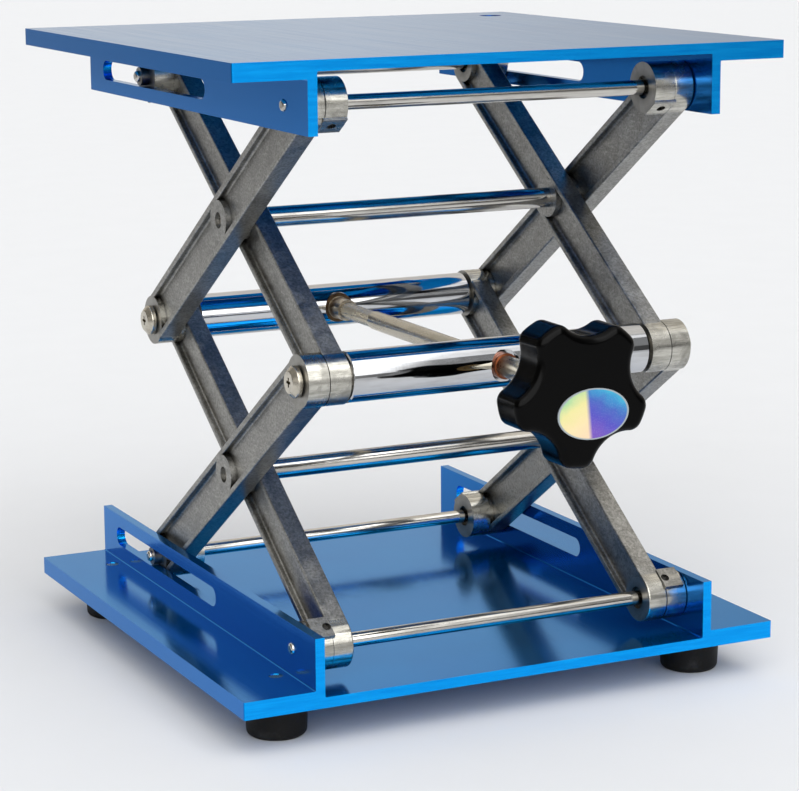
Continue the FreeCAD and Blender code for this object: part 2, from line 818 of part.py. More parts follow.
washer_back = S.thrust_seat
washer_front = washer_back + S.thrust_washer_thickness
washer_radius = S.thrust_washer_diameter / 2
make_turned(
    "thrust_washer",
    [
        (stem_radius, washer_front),
        (washer_radius, washer_front),
        (washer_radius, washer_back + S.side_gap / 3),
        (stem_radius, washer_back + S.side_gap / 3),
    ],
)
collar_radius = S.collar_diameter / 2
make_turned(
    "retaining_collar",
    [
        (stem_radius, collar_front),
        (collar_radius, collar_front),
        (collar_radius, collar_rear),
        (stem_radius, collar_rear),
    ],
)
insert_radius = S.insert_diameter / 2
make_turned(
    "knob_insert",
    [
        (stem_radius, hub_back),
        (stem_radius, stem_tip),
        (ZERO, stem_tip),
        (ZERO, stem_tip + S.rod_chamfer),
        (insert_radius, stem_tip + S.rod_chamfer),
        (insert_radius, hub_back),
    ],
)


def make_nut():
    """A flanged nut through the rear cross rod, its barrel reaching forwards over the screw."""
    body = new_body("lead_nut")
    profile = new_sketch(body, "XY_Plane")
    bore = (S.thread_diameter + S.running_clearance) / 2
    barrel = S.nut_barrel_diameter / 2
    flange = S.nut_flange_diameter / 2
    flange_front = S.nut_seat + S.nut_flange_thickness
    nut_tail = S.rear_cross_rod_diameter / 2 - S.rod_chamfer
    outline = [
        (bore, -S.nut_reach),
        (barrel, -S.nut_reach),
        (barrel, -flange_front),
        (flange, -flange_front),
        (flange, -S.nut_seat),
        (barrel, -S.nut_seat),
        (barrel, nut_tail),
        (bore, nut_tail),
    ]
    draw_polygon(profile, outline)
    revolve(body, profile, "V_Axis")
    body.Placement = Placement(Vector(0, REAR_Y, MID_Z), Rotation())
    nodes.append(body)


make_nut()


# ---------------------------------------------------------------- the knob
def make_knob():
    """A lobed knob: a disc with a ring of valleys, rounded all over, on a round hub."""
    body = new_body("knob")
    lobes = int(float(S.knob_lobes))
    disc = new_sketch(body, "XZ_Plane", offset=knob_back)
    draw_circle(disc, ZERO, ZERO, S.knob_diameter)
    extrude(body, disc, S.knob_thickness)

    valley = new_sketch(body, "XZ_Plane", offset=knob_back)
    valley_distance = S.knob_diameter / 2 - S.knob_valley_depth + S.knob_valley_radius
    draw_circle(valley, valley_distance, ZERO, S.knob_valley_radius * 2)
    valley_cut = cut_through(body, valley, S.knob_thickness)
    pattern = body.newObject("PartDesign::PolarPattern", "knob_valleys")
    pattern.Originals = [valley_cut]
    pattern.Axis = (valley, ["N_Axis"])
    pattern.Angle = 360
    pattern.Occurrences = lobes
    body.Tip = pattern
    doc.recompute()

    front = -float(knob_face)
    back = -float(knob_back)

    def is_lobe_corner(edge):
        low, high = box_of(edge)
        return high[X] - low[X] < 1e-4 and high[Z] - low[Z] < 1e-4

    round_edges(body, S.knob_lobe_radius, is_lobe_corner)

    round_edges(body, S.knob_edge_radius, lambda edge: lies_at(edge, Y, front) or lies_at(edge, Y, back))

    hub = new_sketch(body, "XZ_Plane", offset=hub_back)
    draw_circle(hub, ZERO, ZERO, S.hub_diameter)
    extrude(body, hub, S.hub_length + S.knob_edge_radius)

    socket = new_sketch(body, "XZ_Plane", offset=hub_back)
    draw_circle(socket, ZERO, ZERO, S.insert_diameter)
    cut_through(body, socket, S.insert_depth + S.rod_chamfer)
    turn = Rotation(Vector(0, 1, 0), -float(S.knob_phase) - 180 / lobes)
    body.Placement = Placement(Vector(0, FRONT_Y, MID_Z), turn)
    nodes.append(body)


def make_badge():
    """A plain oval plate on the knob's face, low and to the right."""
    body = new_body("knob_badge")
    oval = new_sketch(body, "XZ_Plane", offset=knob_face)
    centre = Vector(float(S.badge_right), -float(S.badge_drop), 0)
    long_end = centre + Vector(float(S.badge_length) / 2, 0, 0)
    short_end = centre + Vector(0, float(S.badge_width) / 2, 0)
    ellipse = oval.addGeometry(Part.Ellipse(long_end, short_end, centre), False)
    oval.exposeInternalGeometry(ellipse)
    put_point(oval, ellipse, 3, S.badge_right, -S.badge_drop)
    long_axis, short_axis = ellipse + 1, ellipse + 2
    oval.addConstraint(Sketcher.Constraint("Horizontal", long_axis))
    for line, size in ((long_axis, S.badge_length), (short_axis, S.badge_width)):
        index = oval.addConstraint(Sketcher.Constraint("Distance", line, float(size)))
        oval.setExpression(f"Constraints[{index}]", size.formula)
    extrude(body, oval, S.badge_thickness)
    body.Placement = Placement(Vector(0, FRONT_Y, MID_Z), Rotation())
    nodes.append(body)


make_knob()
make_badge()


# ---------------------------------------------------------------- checks and files
doc.recompute()
for thing in doc.Objects:
    if "Invalid" in thing.State or "Error" in thing.State:
        raise RuntimeError(f"{thing.Label} did not compute: {thing.State}")
os.makedirs("parts", exist_ok=True)
for node in nodes:
    shape = node.Shape
    if shape.isNull() or not shape.isValid() or not shape.Solids:
        raise RuntimeError(f"{node.Label} has no valid solid")
    shape.exportStep(f"parts/{node.Label}.step")
    print(f"{node.Label}: {len(shape.Solids)} solid(s), {shape.Volume:.1f} mm3")
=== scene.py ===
"""Looks for the laboratory scissor jack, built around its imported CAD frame.  Metres, +Z up."""

import json
import math

import bmesh
import bpy
from mathutils import Matrix, Vector


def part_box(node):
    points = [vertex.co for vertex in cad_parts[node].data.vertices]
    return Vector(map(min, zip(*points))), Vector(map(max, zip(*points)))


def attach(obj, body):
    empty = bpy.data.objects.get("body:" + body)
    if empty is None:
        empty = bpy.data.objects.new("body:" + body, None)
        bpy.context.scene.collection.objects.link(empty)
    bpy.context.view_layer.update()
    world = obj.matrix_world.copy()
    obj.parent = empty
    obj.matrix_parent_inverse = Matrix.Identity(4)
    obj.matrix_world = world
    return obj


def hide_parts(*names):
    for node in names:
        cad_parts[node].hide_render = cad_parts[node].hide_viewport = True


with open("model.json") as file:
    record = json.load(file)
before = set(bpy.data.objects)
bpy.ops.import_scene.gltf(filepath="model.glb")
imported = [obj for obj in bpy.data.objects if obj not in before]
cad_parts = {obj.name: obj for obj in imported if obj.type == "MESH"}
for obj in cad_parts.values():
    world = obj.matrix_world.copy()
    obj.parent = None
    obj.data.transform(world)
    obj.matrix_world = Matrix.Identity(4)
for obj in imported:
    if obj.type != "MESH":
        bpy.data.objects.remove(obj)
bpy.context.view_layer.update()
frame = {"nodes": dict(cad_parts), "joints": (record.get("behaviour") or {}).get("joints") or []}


NODES = frame["nodes"]
JOINTS = {joint["name"]: joint for joint in frame["joints"]}
MM = 0.001

BASE_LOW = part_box("base_plate")[0]
LOW_FRONT = Vector(JOINTS["lift"]["pos_m"])
MID_FRONT = Vector(JOINTS["front_cross_pivot"]["pos_m"])
MID_REAR = Vector(JOINTS["rear_cross_pivot"]["pos_m"])
STAGE_RUN = MID_REAR.y - MID_FRONT.y
STAGE_RISE = MID_FRONT.z - LOW_FRONT.z
ARM_SLOPE = math.atan2(STAGE_RISE, STAGE_RUN)


# ------------------------------------------------------------------ node graphs
def rgba(value):
    if isinstance(value, bpy.types.NodeSocket):
        return value
    return tuple(value) + (1.0,) if len(value) == 3 else tuple(value)


def grey(level):
    return (level, level, level)


class Graph:
    """A node tree written as expressions: each call adds a node and returns its output."""

    def __init__(self, tree):
        self.tree = tree

    def node(self, kind, **settings):
        node = self.tree.nodes.new(kind)
        for key, value in settings.items():
            setattr(node, key, value)
        return node

    def feed(self, socket, value):
        if isinstance(value, bpy.types.NodeSocket):
            self.tree.links.new(value, socket)
        else:
            socket.default_value = value

    def mapped(self, vector, scale=(1.0, 1.0, 1.0), tilt=0.0):
        """The vector turned about X by the tilt, then stretched."""
        node = self.node("ShaderNodeMapping")
        self.feed(node.inputs["Vector"], vector)
        node.inputs["Rotation"].default_value = (tilt, 0.0, 0.0)
        node.inputs["Scale"].default_value = scale
        return node.outputs["Vector"]

    def split(self, vector):
        node = self.node("ShaderNodeSeparateXYZ")
        self.feed(node.inputs[0], vector)
        return node.outputs

    def math(self, operation, a, b=0.0, c=0.0):
        node = self.node("ShaderNodeMath", operation=operation)
        for socket, value in zip(node.inputs, (a, b, c)):
            self.feed(socket, value)
        return node.outputs[0]

    def hypot(self, a, b):
        squares = self.math("ADD", self.math("MULTIPLY", a, a), self.math("MULTIPLY", b, b))
        return self.math("SQRT", squares)

    def noise(self, vector, scale, detail=3.0, rough=0.5, distortion=0.0):
        node = self.node("ShaderNodeTexNoise")
        self.feed(node.inputs["Vector"], vector)
        node.inputs["Scale"].default_value = scale
        node.inputs["Detail"].default_value = detail
        node.inputs["Roughness"].default_value = rough
        node.inputs["Distortion"].default_value = distortion
        return node.outputs["Fac"]

    def cells(self, vector, scale):
        node = self.node("ShaderNodeTexVoronoi")
        self.feed(node.inputs["Vector"], vector)
        node.inputs["Scale"].default_value = scale
        return node.outputs["Distance"]

    def ramp(self, value, low, high, out_low=0.0, out_high=1.0, kind="LINEAR"):
        """A clamped map from one range to another."""
        node = self.node("ShaderNodeMapRange", interpolation_type=kind)
        self.feed(node.inputs["Value"], value)
        names = ("From Min", "From Max", "To Min", "To Max")
        for name, number in zip(names, (low, high, out_low, out_high)):
            self.feed(node.inputs[name], number)
        return node.outputs["Result"]

    def blend(self, factor, a, b):
        """Mix two colours."""
        node = self.node("ShaderNodeMix", data_type="RGBA")
        self.feed(node.inputs[0], factor)
        self.feed(node.inputs[6], rgba(a))
        self.feed(node.inputs[7], rgba(b))
        return node.outputs[2]

    def palette(self, factor, stops):
        """A colour from a list of (position, colour)."""
        node = self.node("ShaderNodeValToRGB")
        marks = node.color_ramp.elements
        while len(marks) < len(stops):
            marks.new(0.5)
        for mark, (position, colour) in zip(marks, stops):
            mark.position = position
            mark.color = rgba(colour)
        self.feed(node.inputs[0], factor)
        return node.outputs["Color"]

    def mix(self, factor, a, b):
        """Mix two numbers."""
        node = self.node("ShaderNodeMix")
        self.feed(node.inputs[0], factor)
        self.feed(node.inputs[2], a)
        self.feed(node.inputs[3], b)
        return node.outputs[0]


class Finish(Graph):
    """A material, whose shader's sockets are written as words: base_color, coat_weight."""

    def __init__(self, name):
        self.material = bpy.data.materials.new(name)
        self.material.use_nodes = True
        super().__init__(self.material.node_tree)
        self.shader = self.tree.nodes["Principled BSDF"]

    def surface(self, **values):
        for key, value in values.items():
            name = key.replace("_", " ").title().replace("Ior", "IOR")
            self.feed(self.shader.inputs[name], value)

    def place(self):
        return self.node("ShaderNodeTexCoord").outputs["Object"]

    def facing(self):
        """The surface's own normal, in the piece's frame."""
        geometry = self.node("ShaderNodeNewGeometry").outputs["Normal"]
        turn = self.node("ShaderNodeVectorTransform", vector_type="NORMAL")
        turn.convert_from = "WORLD"
        turn.convert_to = "OBJECT"
        self.feed(turn.inputs[0], geometry)
        return self.split(turn.outputs[0])

    def bump(self, height, strength, distance):
        node = self.node("ShaderNodeBump")
        node.inputs["Strength"].default_value = strength
        node.inputs["Distance"].default_value = distance
        self.feed(node.inputs["Height"], height)
        return node.outputs["Normal"]


# ------------------------------------------------------------------ materials
DRAWN_BLUE, DRAWN_BLUE_PALE = (0.0, 0.195, 0.59), (0.0, 0.235, 0.65)
UPRIGHT_BLUE = (0.003, 0.165, 0.55)
SAWN_BLUE, SAWN_BLUE_PALE = (0.001, 0.29, 0.84), (0.004, 0.41, 1.0)
SAWN_ROUGHNESS = 0.22


def anodised_blue():
    """Dyed aluminium, nearly a mirror on the drawn faces and matt where the length was sawn off."""
    g = Finish("blue_anodised")
    place = g.place()
    normal = g.facing()
    sawn = g.ramp(g.math("ABSOLUTE", normal["Y"]), 0.6, 0.9)
    upright = g.ramp(g.math("ABSOLUTE", normal["X"]), 0.6, 0.9)
    draw_lines = g.noise(g.mapped(place, (1.0, 0.01, 1.0)), 1400.0, 3.0, 0.6)
    saw_lines = g.noise(g.mapped(place, (0.04, 1.0, 1.0)), 1500.0, 3.0, 0.7)
    cloud = g.noise(place, 14.0, 4.0, 0.6)
    specks = g.ramp(g.noise(place, 900.0, 2.0, 0.5), 0.70, 0.76)
    drawn_blue = g.blend(g.ramp(cloud, 0.3, 0.7), DRAWN_BLUE, DRAWN_BLUE_PALE)
    drawn_blue = g.blend(upright, drawn_blue, UPRIGHT_BLUE)
    sawn_blue = g.blend(g.ramp(saw_lines, 0.3, 0.7), SAWN_BLUE, SAWN_BLUE_PALE)
    g.surface(base_color=g.blend(sawn, drawn_blue, sawn_blue), metallic=0.91)
    g.surface(specular_tint=(0.80, 0.90, 0.97, 1.0))
    gloss = g.math("ADD", g.ramp(draw_lines, 0.3, 0.7, 0.11, 0.17), g.math("MULTIPLY", specks, 0.1))
    g.surface(roughness=g.mix(sawn, gloss, SAWN_ROUGHNESS))
    lines = g.mix(sawn, g.math("MULTIPLY", draw_lines, 0.12), saw_lines)
    g.surface(normal=g.bump(lines, 0.3, 0.00003))
    return g.material


BOSS_RADIUS = 8.9 * MM
BORE_SHADE_INNER = 3.2 * MM
BORE_SHADE_OUTER = 6.5 * MM
EDGE_SOFTNESS = 0.2 * MM
# reach of the painted shade in the casting's corners and recesses
CORNER_SHADE_REACH = 2.0 * MM
TURNING_PITCH = 0.35 * MM


def cast_aluminium(name, tilt):
    """Raw die casting with flow marks along the arm, its bosses turned and their faces cut smooth; painted
    shade darkens its corners and recesses.
    """
    g = Finish(name)
    place = g.place()
    parts = g.split(place)
    middle_y = (MID_FRONT.y + MID_REAR.y) / 2
    off_y = g.math("ABSOLUTE", g.math("SUBTRACT", parts["Y"], middle_y))
    off_y = g.math("SUBTRACT", off_y, STAGE_RUN / 2)
    off_z = g.math("ABSOLUTE", g.math("SUBTRACT", parts["Z"], MID_FRONT.z))
    next_z = g.math("ABSOLUTE", g.math("SUBTRACT", off_z, STAGE_RISE))
    radius = g.hypot(off_y, g.math("MINIMUM", off_z, next_z))
    side_face = g.ramp(g.math("ABSOLUTE", g.facing()["X"]), 0.7, 0.9)
    boss = g.ramp(radius, BOSS_RADIUS, BOSS_RADIUS + EDGE_SOFTNESS, 1.0, 0.0)
    barrel = g.math("MULTIPLY", boss, g.math("SUBTRACT", 1.0, side_face))
    face = g.math("MULTIPLY", boss, side_face)

    grain = g.noise(place, 1100.0, 4.0, 0.65)
    mottle = g.noise(place, 110.0, 5.0, 0.62, 0.6)
    flow = g.noise(g.mapped(place, (1.0, 0.10, 1.0), tilt), 420.0, 4.0, 0.7)
    scuffs = g.noise(g.mapped(place, (1.0, 0.35, 1.0), tilt), 900.0, 3.0, 0.75)
    pits = g.cells(place, 480.0)
    # painted shade: ambient occlusion darkens the corners, creases and recesses
    corner = g.node("ShaderNodeAmbientOcclusion", only_local=True, samples=4)
    corner.inputs["Distance"].default_value = CORNER_SHADE_REACH
    corner_shade = g.ramp(corner.outputs["AO"], 0.35, 0.8, 0.75, 0.0)

    cast = g.blend(g.ramp(mottle, 0.32, 0.68), (0.215, 0.211, 0.197), (0.39, 0.384, 0.364))
    cast = g.blend(g.ramp(flow, 0.52, 0.72, 0.0, 0.6), cast, (0.47, 0.46, 0.43))
    cast = g.blend(g.ramp(scuffs, 0.52, 0.72, 0.0, 0.45), cast, (0.62, 0.61, 0.58))
    cast = g.blend(g.ramp(grain, 0.56, 0.36, 0.0, 0.5), cast, (0.09, 0.088, 0.08))
    cast = g.blend(g.ramp(pits, 0.0, 0.15, 0.5, 0.0), cast, (0.08, 0.077, 0.07))

    turning = g.math("SINE", g.math("MULTIPLY", radius, math.tau / TURNING_PITCH))
    faced = g.blend(g.ramp(turning, -1.0, 1.0), (0.27, 0.262, 0.24), (0.36, 0.35, 0.325))
    faced = g.blend(g.ramp(mottle, 0.42, 0.62, 0.0, 0.7), faced, (0.19, 0.183, 0.165))
    # painted shade of the counterbore, with some dirt: the faced boss darkens towards the rod's bore
    bore_shade_and_dirt = g.ramp(radius, BORE_SHADE_INNER, BORE_SHADE_OUTER, 0.7, 0.0)
    faced = g.blend(bore_shade_and_dirt, faced, (0.10, 0.095, 0.085))

    streaks = g.noise(g.mapped(place, (0.12, 1.0, 1.0)), 700.0, 4.0, 0.7)
    turned = g.blend(g.ramp(streaks, 0.38, 0.62), (0.36, 0.35, 0.31), (0.60, 0.585, 0.53))
    turned = g.blend(g.ramp(mottle, 0.5, 0.68, 0.0, 0.75), turned, (0.22, 0.212, 0.19))

    tone = g.blend(barrel, g.blend(face, cast, faced), turned)
    # painted shade: near-black blended in where the corners and recesses are
    tone = g.blend(corner_shade, tone, (0.045, 0.043, 0.04))
    g.surface(base_color=tone, metallic=1.0)
    cast_gloss = g.ramp(mottle, 0.3, 0.7, 0.32, 0.48)
    turned_gloss = g.ramp(mottle, 0.35, 0.7, 0.17, 0.34)
    g.surface(roughness=g.mix(barrel, g.mix(face, cast_gloss, 0.36), turned_gloss))
    skin = g.math("ADD", grain, g.ramp(pits, 0.0, 0.25, -0.6, 0.0))
    height = g.mix(face, skin, g.math("MULTIPLY", turning, 0.06))
    height = g.mix(barrel, height, g.math("MULTIPLY", streaks, 0.5))
    g.surface(normal=g.bump(height, 0.34, 0.00012))
    return g.material


def bright_chrome():
    """Hard plating on the ground cross rods: very fine rings and a faint haze."""
    g = Finish("bright_chrome")
    place = g.place()
    rings = g.noise(g.mapped(place, (1.0, 0.02, 0.02)), 1500.0, 2.0, 0.6)
    haze = g.noise(place, 60.0, 4.0, 0.6)
    smear = g.noise(g.mapped(place, (0.15, 1.0, 1.0)), 210.0, 4.0, 0.7)
    g.surface(base_color=g.blend(g.ramp(smear, 0.45, 0.75), (0.58, 0.59, 0.61), grey(0.42)))
    g.surface(metallic=1.0, roughness=g.ramp(haze, 0.3, 0.8, 0.035, 0.10))
    g.surface(normal=g.bump(rings, 0.08, 0.00001))
    return g.material


def bright_metal(name, colour, low, high, stretch=(1.0, 1.0, 1.0), dulled=0.6):
    """Drawn or turned metal with fine lines along the stretched axis and small dull patches."""
    g = Finish(name)
    place = g.place()
    lines = g.noise(g.mapped(place, stretch), 1400.0, 3.0, 0.65)
    patches = g.noise(g.mapped(place, tuple(math.sqrt(s) for s in stretch)), 160.0, 5.0, 0.68)
    dull = tuple(channel * dulled for channel in colour)
    tone = g.blend(g.ramp(patches, 0.46, 0.72), colour, dull)
    tone = g.blend(g.ramp(lines, 0.55, 0.75, 0.0, 0.5), tone, dull)
    g.surface(base_color=tone, metallic=1.0)
    g.surface(roughness=g.ramp(patches, 0.35, 0.75, low, high))
    g.surface(normal=g.bump(lines, 0.2, 0.00002))
    return g.material


NUT_BARREL_RADIUS = 4.1 * MM


def nut_bronze():
    """Grey-brown barrel; its flange and mouth painted dark brown, brown oxide with painted shade of the
    rod's bore around it.
    """
    g = Finish("nut_bronze")
    place = g.place()
    parts = g.split(place)
    radius = g.hypot(parts["X"], g.math("SUBTRACT", parts["Z"], MID_FRONT.z))
    flange = g.ramp(radius, NUT_BARREL_RADIUS, NUT_BARREL_RADIUS + EDGE_SOFTNESS)
    stain = g.noise(place, 300.0, 5.0, 0.7)
    worn = g.blend(g.ramp(stain, 0.4, 0.65), (0.46, 0.41, 0.32), (0.17, 0.14, 0.11))
    # brown oxide with painted shade where the rod's bore mouth surrounds the flange
    oxide_and_shade = g.blend(g.ramp(stain, 0.4, 0.65), (0.06, 0.038, 0.022), (0.15, 0.10, 0.06))
    g.surface(base_color=g.blend(flange, worn, oxide_and_shade), metallic=1.0)
    g.surface(roughness=g.ramp(stain, 0.3, 0.7, 0.24, 0.45))
    g.surface(normal=g.bump(stain, 0.2, 0.0001))
    return g.material


def black_rubber():
    """Moulded rubber with a fine grain and dust in it."""
    g = Finish("black_rubber")
    place = g.place()
    grain = g.noise(place, 1600.0, 3.0, 0.6)
    dust = g.noise(place, 130.0, 5.0, 0.72)
    g.surface(base_color=g.blend(g.ramp(dust, 0.5, 0.85), grey(0.006), (0.032, 0.032, 0.033)))
    g.surface(roughness=g.ramp(dust, 0.3, 0.8, 0.45, 0.7))
    g.surface(specular_ior_level=0.15)
    g.surface(normal=g.bump(grain, 0.3, 0.00008))
    return g.material


def knob_plastic():
    """Glossy moulded phenolic: slight peel, fine dust and a few rubbed patches."""
    g = Finish("black_plastic")
    place = g.place()
    peel = g.noise(place, 220.0, 2.0, 0.5)
    dust = g.noise(place, 800.0, 5.0, 0.75)
    rubbed = g.noise(place, 45.0, 4.0, 0.6)
    g.surface(base_color=g.blend(g.ramp(dust, 0.70, 0.82), grey(0.0008), grey(0.012)))
    g.surface(specular_ior_level=0.075)
    rub = g.ramp(rubbed, 0.4, 0.7, 0.12, 0.24)
    g.surface(roughness=g.math("ADD", rub, g.ramp(dust, 0.5, 0.8, 0.0, 0.12)))
    g.surface(normal=g.bump(peel, 0.10, 0.0001))
    return g.material


WARM_SIDE = [
    (0.00, (0.76, 0.54, 0.38)),
    (0.35, (0.78, 0.63, 0.35)),
    (0.65, (0.70, 0.65, 0.28)),
    (0.84, (0.38, 0.58, 0.28)),
    (1.00, (0.16, 0.46, 0.38)),
]
COOL_SIDE = [
    (0.00, (0.14, 0.065, 0.42)),
    (0.35, (0.06, 0.055, 0.43)),
    (0.62, (0.035, 0.10, 0.42)),
    (0.82, (0.02, 0.24, 0.50)),
    (1.00, (0.03, 0.42, 0.56)),
]


BADGE_DIVIDE = (-0.19, -0.07)
BADGE_LEAN = 0.065
BADGE_RIM = (0.94, 0.96)


def pearl_badge():
    """A plain iridescent oval: thin rim, yellow to green on the left, violet to cyan on the right."""
    g = Finish("pearl_plastic")
    place = g.place()
    low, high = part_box("knob_badge")
    centre = (low + high) / 2
    half = (high - low) / 2
    parts = g.split(place)
    u = g.math("DIVIDE", g.math("SUBTRACT", parts["X"], centre.x), half.x)
    v = g.math("DIVIDE", g.math("SUBTRACT", parts["Z"], centre.z), half.z)
    ripple = g.ramp(g.noise(place, 230.0, 3.0, 0.5), 0.2, 0.8, -0.2, 0.2)
    rising = g.math("ADD", v, ripple)
    warm = g.palette(g.ramp(g.math("SUBTRACT", rising, u), -1.0, 1.7), WARM_SIDE)
    cool = g.palette(g.ramp(g.math("ADD", rising, u), -0.7, 1.4), COOL_SIDE)
    across = g.math("ADD", u, g.math("MULTIPLY", v, BADGE_LEAN))
    film = g.blend(g.ramp(across, *BADGE_DIVIDE), warm, cool)
    sparkle = g.ramp(g.cells(place, 2600.0), 0.0, 0.5, 0.06, 0.0)
    film = g.blend(sparkle, film, (0.9, 0.9, 0.85))
    rim = g.ramp(g.hypot(u, v), *BADGE_RIM)
    g.surface(base_color=g.blend(rim, film, (0.30, 0.34, 0.36)), metallic=0.15, roughness=0.25)
    g.surface(coat_weight=0.4, coat_roughness=0.06)
    g.surface(normal=g.bump(rim, 0.3, 0.0001))
    return g.material


def paint(material, *names):
    for name in names:
        slots = NODES[name].data.materials
        slots.clear()
        slots.append(material)


RISING = cast_aluminium("cast_aluminium_rising", -ARM_SLOPE)
FALLING = cast_aluminium("cast_aluminium_falling", ARM_SLOPE)
SOCKET_BLACK = bright_metal("blackened_steel", (0.07, 0.07, 0.072), 0.35, 0.5)
for stage in ("lower", "upper"):
    for layer, casting in (("inner", RISING), ("outer", FALLING)):
        paint(casting, f"{stage}_{layer}_arm_left", f"{stage}_{layer}_arm_right")
        paint(SOCKET_BLACK, f"{stage}_{layer}_arm_set_screws")

ALONG_X = (0.03, 1.0, 1.0)
ALONG_Y = (1.0, 0.05, 1.0)
THIN_STEEL = bright_metal("drawn_steel", (0.58, 0.56, 0.52), 0.08, 0.24, ALONG_X, 0.5)
SMALL_STEEL = bright_metal("screw_steel", (0.56, 0.52, 0.44), 0.18, 0.36)
DARK_STEEL = bright_metal("pin_steel", (0.24, 0.235, 0.225), 0.3, 0.5)
paint(anodised_blue(), "base_plate", "top_plate")
paint(bright_chrome(), "front_cross_rod", "rear_cross_rod")
paint(THIN_STEEL, "base_front_rod", "base_slide_rod", "top_front_rod", "top_slide_rod")
paint(THIN_STEEL, "lower_centre_rod", "upper_centre_rod")
paint(SMALL_STEEL, "front_pivot_screws", "rear_pivot_screws", "foot_screws")
paint(nut_bronze(), "lead_nut")
paint(SMALL_STEEL, "front_rod_washers", "rear_rod_washers")
paint(DARK_STEEL, "base_slide_bushes", "top_slide_bushes", "retaining_collar")
paint(bright_metal("copper", (0.30, 0.10, 0.05), 0.25, 0.4), "thrust_washer")
paint(bright_metal("brass", (0.42, 0.28, 0.12), 0.3, 0.5), "knob_insert")
paint(black_rubber(), "foot_front_left", "foot_front_right", "foot_rear_left", "foot_rear_right")
paint(knob_plastic(), "knob")
paint(pearl_badge(), "knob_badge")


# ------------------------------------------------------------------ the threaded lead screw
SCREW_LOW, SCREW_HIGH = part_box("lead_screw")
STEM_RADIUS = (SCREW_HIGH.z - SCREW_LOW.z) / 2
STEM_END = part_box("retaining_collar")[1].y
SHANK_RADIUS = 3.4 * MM
THREAD_START = BASE_LOW.y + 111.0 * MM
THREAD_CREST = 3.0 * MM
THREAD_ROOT = 2.4 * MM
THREAD_PITCH = 1.0 * MM
TAIL_CHAMFER = 0.8 * MM
THREAD_FLANK = 2.6
CREST_SHARE = 0.75
STEM_CHAMFER = 0.3 * MM
THREAD_RUNOUT = 0.4 * MM
STEP_LENGTH = 0.05 * MM
RINGS_PER_TURN = 10
SIDES = 36


def thread_radius(y, turn):
    """The radius of a right-hand thread at this distance and part of a turn."""
    phase = ((y - THREAD_START) / THREAD_PITCH + turn) % 1.0
    depth = min(max(abs(phase - 0.5) * THREAD_FLANK - CREST_SHARE, 0.0), 1.0)
    tail = max(0.0, y - (SCREW_HIGH.y - TAIL_CHAMFER))
    return min(THREAD_CREST - (THREAD_CREST - THREAD_ROOT) * depth, THREAD_CREST - tail)


def screw_rings():
    """Stations along the screw, each with a radius for every side."""
    plain = [
        (SCREW_LOW.y, STEM_RADIUS - STEM_CHAMFER),
        (SCREW_LOW.y + STEM_CHAMFER, STEM_RADIUS),
        (STEM_END - STEP_LENGTH, STEM_RADIUS),
        (STEM_END, SHANK_RADIUS),
        (THREAD_START - THREAD_RUNOUT, SHANK_RADIUS),
        (THREAD_START - STEP_LENGTH, THREAD_CREST),
    ]
    rings = [(y, [radius] * SIDES) for y, radius in plain]
    turns = (SCREW_HIGH.y - THREAD_START) / THREAD_PITCH
    count = round(turns * RINGS_PER_TURN)
    for step in range(count + 1):
        y = THREAD_START + (SCREW_HIGH.y - THREAD_START) * step / count
        rings.append((y, [thread_radius(y, side / SIDES) for side in range(SIDES)]))
    return rings


def make_lead_screw():
    mesh = bpy.data.meshes.new("threaded_lead_screw")
    shape = bmesh.new()
    loops = []
    for y, radii in screw_rings():
        loop = []
        for side, radius in enumerate(radii):
            angle = math.tau * side / SIDES
            place = (radius * math.cos(angle), y, MID_FRONT.z + radius * math.sin(angle))
            loop.append(shape.verts.new(place))
        loops.append(loop)
    for near, far in zip(loops, loops[1:]):
        for side in range(SIDES):
            after = (side + 1) % SIDES
            shape.faces.new((near[side], near[after], far[after], far[side])).smooth = True
    shape.faces.new(reversed(loops[0]))
    shape.faces.new(loops[-1])
    bmesh.ops.recalc_face_normals(shape, faces=shape.faces)
    shape.to_mesh(mesh)
    shape.free()
    mesh.materials.append(bright_metal("turned_steel", (0.66, 0.60, 0.47), 0.2, 0.38, ALONG_Y))
    screw = bpy.data.objects.new("threaded_lead_screw", mesh)
    bpy.context.scene.collection.objects.link(screw)
    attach(screw, "screw")
    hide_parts("lead_screw")


make_lead_screw()


# ------------------------------------------------------------------ camera
# measured from the base plate's left, front and lower corner
CAMERA_OFFSET = Vector((-0.300869, -0.733509, 0.266879))
CAMERA_YAW, CAMERA_PITCH, CAMERA_ROLL = (math.radians(angle) for angle in (25.925, -11.541, -0.405))
SENSOR_WIDTH = 36.0
LENS = 117.44


def aim(yaw, pitch, roll):
    """A camera's rotation: yaw turns it from +Y towards +X, pitch lifts it, and roll turns the frame."""
    forward = Vector((math.sin(yaw) * math.cos(pitch), math.cos(yaw) * math.cos(pitch), math.sin(pitch)))
    level = Vector((math.cos(yaw), -math.sin(yaw), 0.0))
    above = level.cross(forward)
    right = level * math.cos(roll) + above * math.sin(roll)
    up = above * math.cos(roll) - level * math.sin(roll)
    return Matrix((right, up, -forward)).transposed().to_4x4()


lens = bpy.data.cameras.new("camera")
lens.sensor_width = SENSOR_WIDTH
lens.lens = LENS
camera = bpy.data.objects.new("camera", lens)
camera_turn = aim(CAMERA_YAW, CAMERA_PITCH, CAMERA_ROLL)
camera.matrix_world = Matrix.Translation(BASE_LOW + CAMERA_OFFSET) @ camera_turn
bpy.context.scene.collection.objects.link(camera)
bpy.context.scene.camera = camera


# ------------------------------------------------------------------ studio
FLOOR_HALF = 7.0
FLOOR_FAR_LEFT = (-0.42, -1.1)
FLOOR_SLANT = (-0.5, 0.5)
FLOOR_FRONT = (-0.5, -1.1)
FLOOR_PALE, FLOOR_PALER = (0.665, 0.683, 0.712), (0.685, 0.703, 0.733)
# colour of the painted shade on the floor
FLOOR_PAINTED_SHADE = (0.30, 0.305, 0.32)


